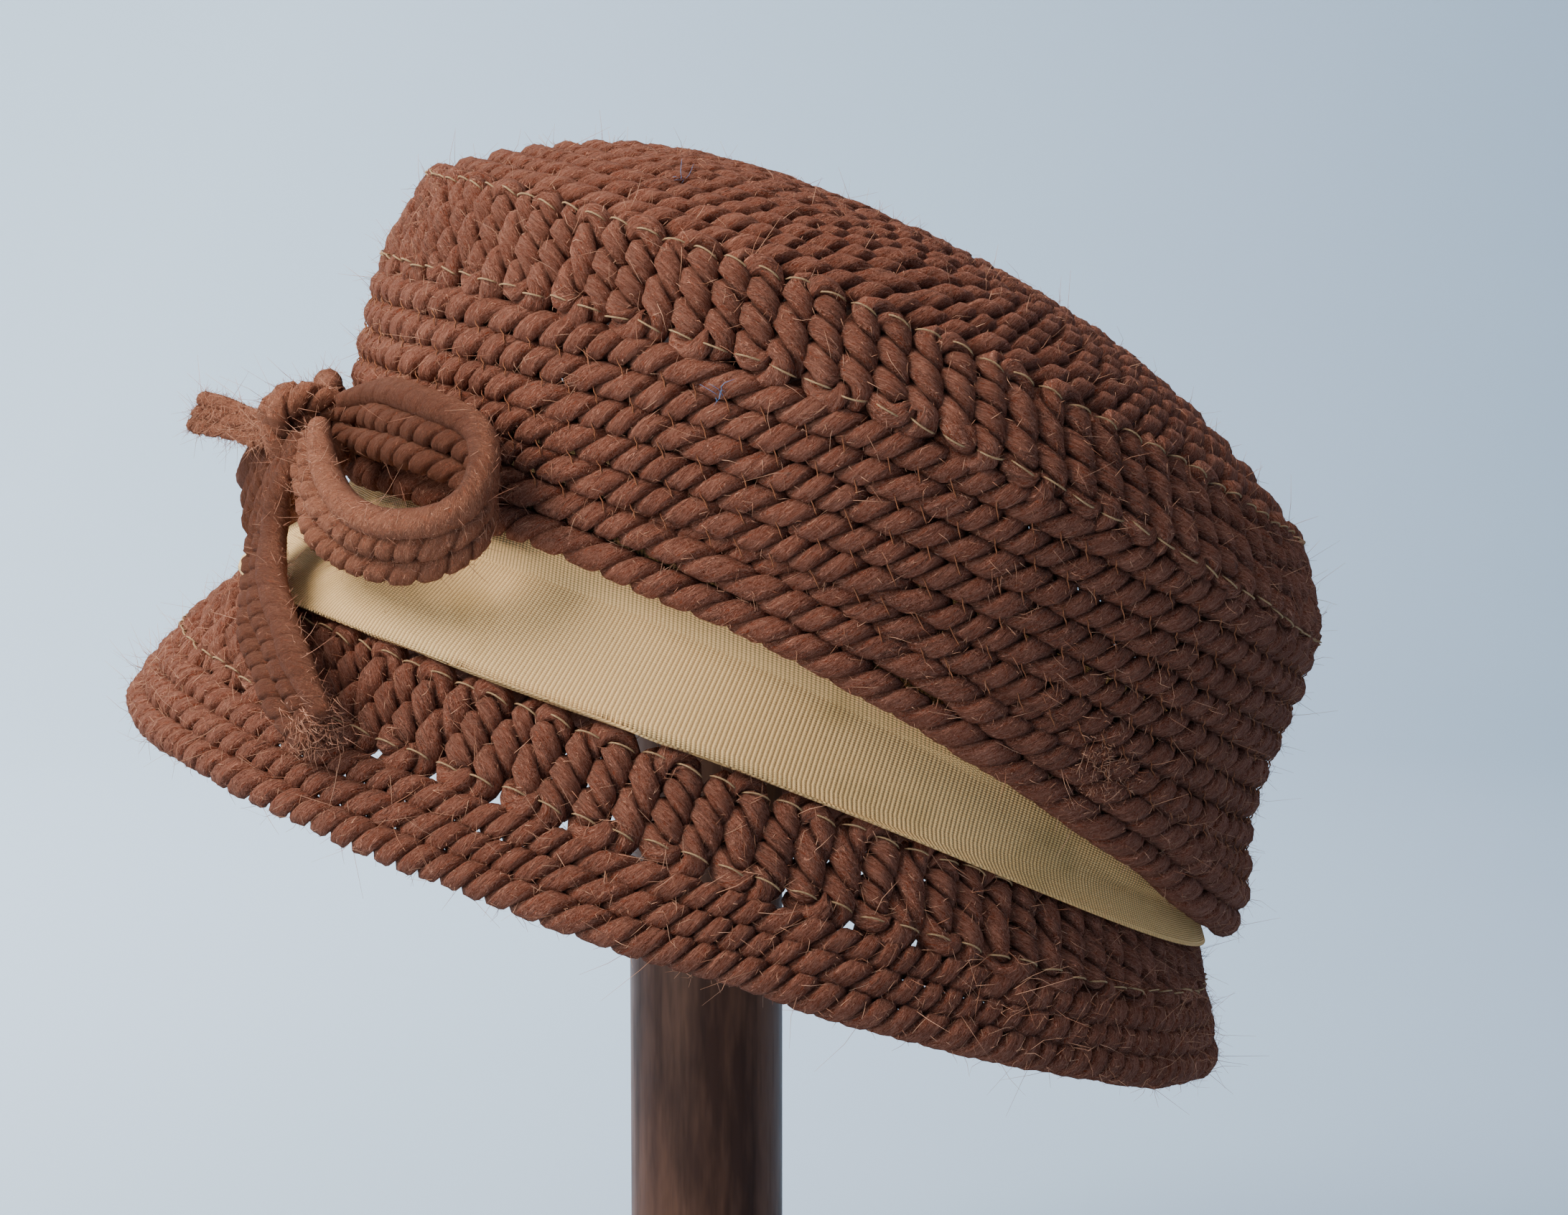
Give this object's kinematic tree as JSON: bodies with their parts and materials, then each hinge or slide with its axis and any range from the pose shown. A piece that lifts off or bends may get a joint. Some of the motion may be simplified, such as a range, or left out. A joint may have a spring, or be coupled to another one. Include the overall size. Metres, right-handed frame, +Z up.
{
  "type": "cloche hat on a post stand",
  "caption": "Brimmed cloche hat sewn from thick twisted wool cord, with a grosgrain ribbon band and a corded bow, leaning back on a round wooden post stand.",
  "frame": {"origin": "centre of the underside of the stand's foot", "axes": "+Z up the post, the hat's front and its bow towards -Y, +X the side that the picture shows"},
  "size_m": [0.2174, 0.2454, 0.2894],
  "materials": {
    "wool_cord": "rough twisted wool",
    "felted_cord": "felted wool",
    "grosgrain": "ribbed, slightly shiny",
    "dark_wood": "satin, worn"
  },
  "bodies": {
    "root": {"crown_tip": "wool_cord", "crown_braid": "wool_cord", "crown_side": "wool_cord", "hat_band": "grosgrain", "brim_braid": "wool_cord", "brim_edge": "wool_cord", "bow_knot": "felted_cord", "bow_loop_near": "felted_cord", "bow_loop_far": "felted_cord", "bow_tail_front": "felted_cord", "bow_tail_side": "felted_cord", "stand_head": "dark_wood", "stand_post": "dark_wood", "stand_foot": "dark_wood"}
  },
  "joints": []
}
